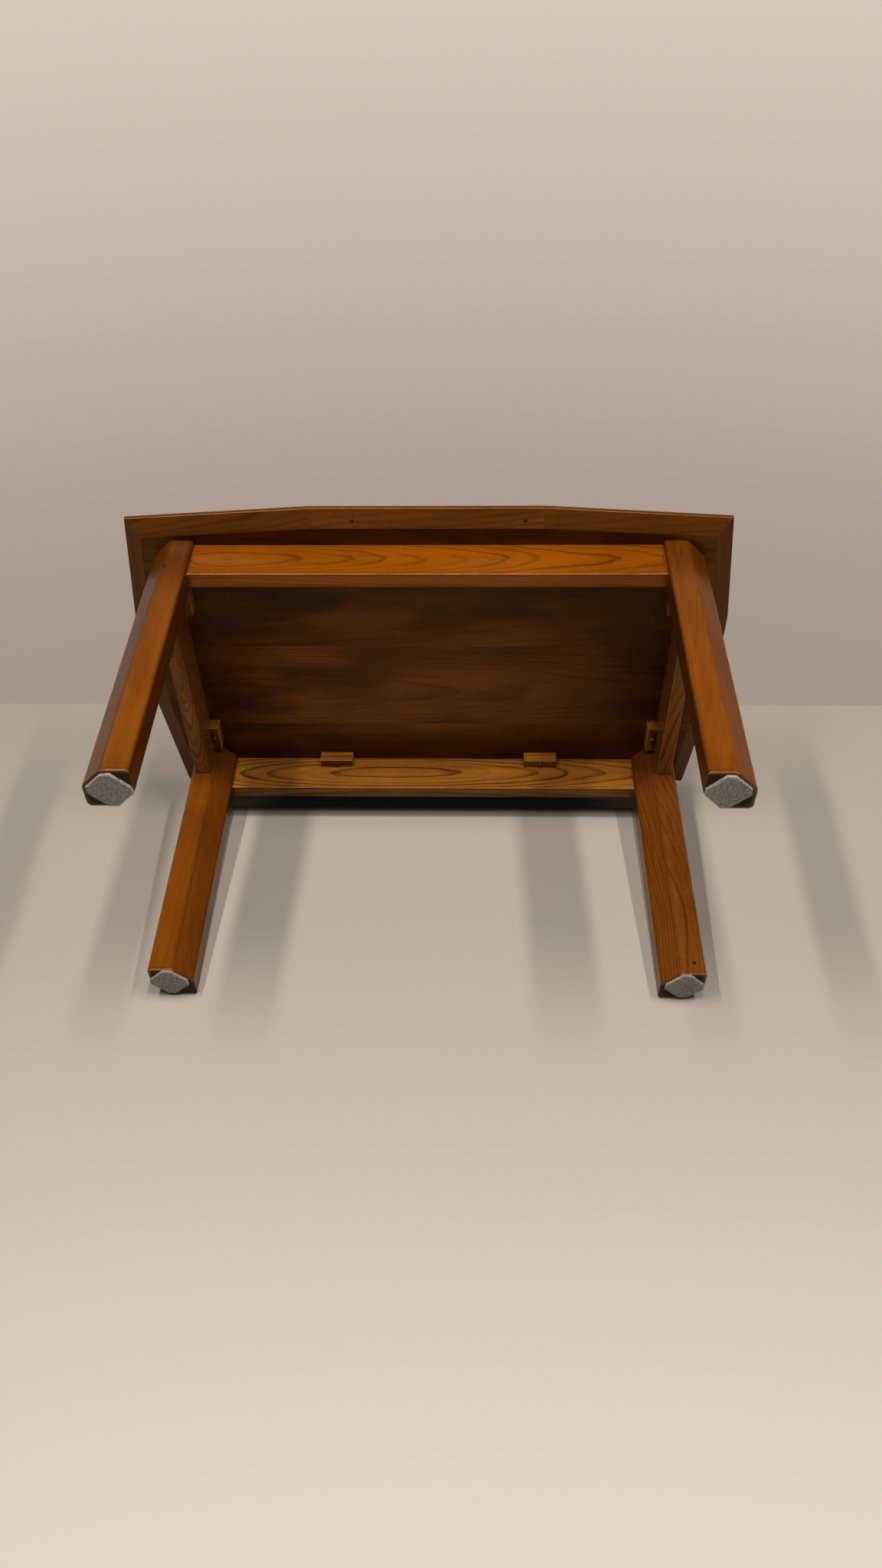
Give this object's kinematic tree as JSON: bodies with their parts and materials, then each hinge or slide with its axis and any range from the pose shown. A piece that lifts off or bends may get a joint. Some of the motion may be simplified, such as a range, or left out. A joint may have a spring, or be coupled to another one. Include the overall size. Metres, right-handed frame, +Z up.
{
  "type": "low table",
  "caption": "Low wooden table with a bevelled, slightly bowed top, chamfered fixed legs, a rail frame and felt pads under the feet.",
  "frame": {"origin": "on the floor under the middle of the top", "axes": "+Z up, X along the table's length, Y along its width"},
  "size_m": [0.8, 0.507, 0.4195],
  "materials": {
    "wood_border": "satin lacquer",
    "wood_panel": "satin lacquer",
    "wood_leg": "gloss lacquer",
    "wood_rail": "gloss lacquer",
    "wood_block": "satin lacquer",
    "screw_steel": "dull",
    "felt": "matt felt"
  },
  "bodies": {
    "root": {"border_right_front": "wood_border", "border_right_middle": "wood_border", "border_right_back": "wood_border", "border_back_right": "wood_border", "border_back_middle": "wood_border", "border_back_left": "wood_border", "border_left_back": "wood_border", "border_left_middle": "wood_border", "border_left_front": "wood_border", "border_front_left": "wood_border", "border_front_middle": "wood_border", "border_front_right": "wood_border", "top_board_1": "wood_panel", "top_board_2": "wood_panel", "top_board_3": "wood_panel", "top_board_4": "wood_panel", "leg_front_left": "wood_leg", "leg_front_right": "wood_leg", "leg_back_left": "wood_leg", "leg_back_right": "wood_leg", "long_rail_front": "wood_rail", "long_rail_back": "wood_rail", "short_rail_left": "wood_rail", "short_rail_right": "wood_rail", "block_front_rail_left": "wood_block", "block_front_rail_right": "wood_block", "block_back_rail_left": "wood_block", "block_back_rail_right": "wood_block", "block_left_rail_front": "wood_block", "block_left_rail_back": "wood_block", "block_right_rail_front": "wood_block", "block_right_rail_back": "wood_block", "block_screws": "screw_steel", "felt_pad_front_left": "felt", "felt_pad_front_right": "felt", "felt_pad_back_left": "felt", "felt_pad_back_right": "felt"}
  },
  "joints": []
}
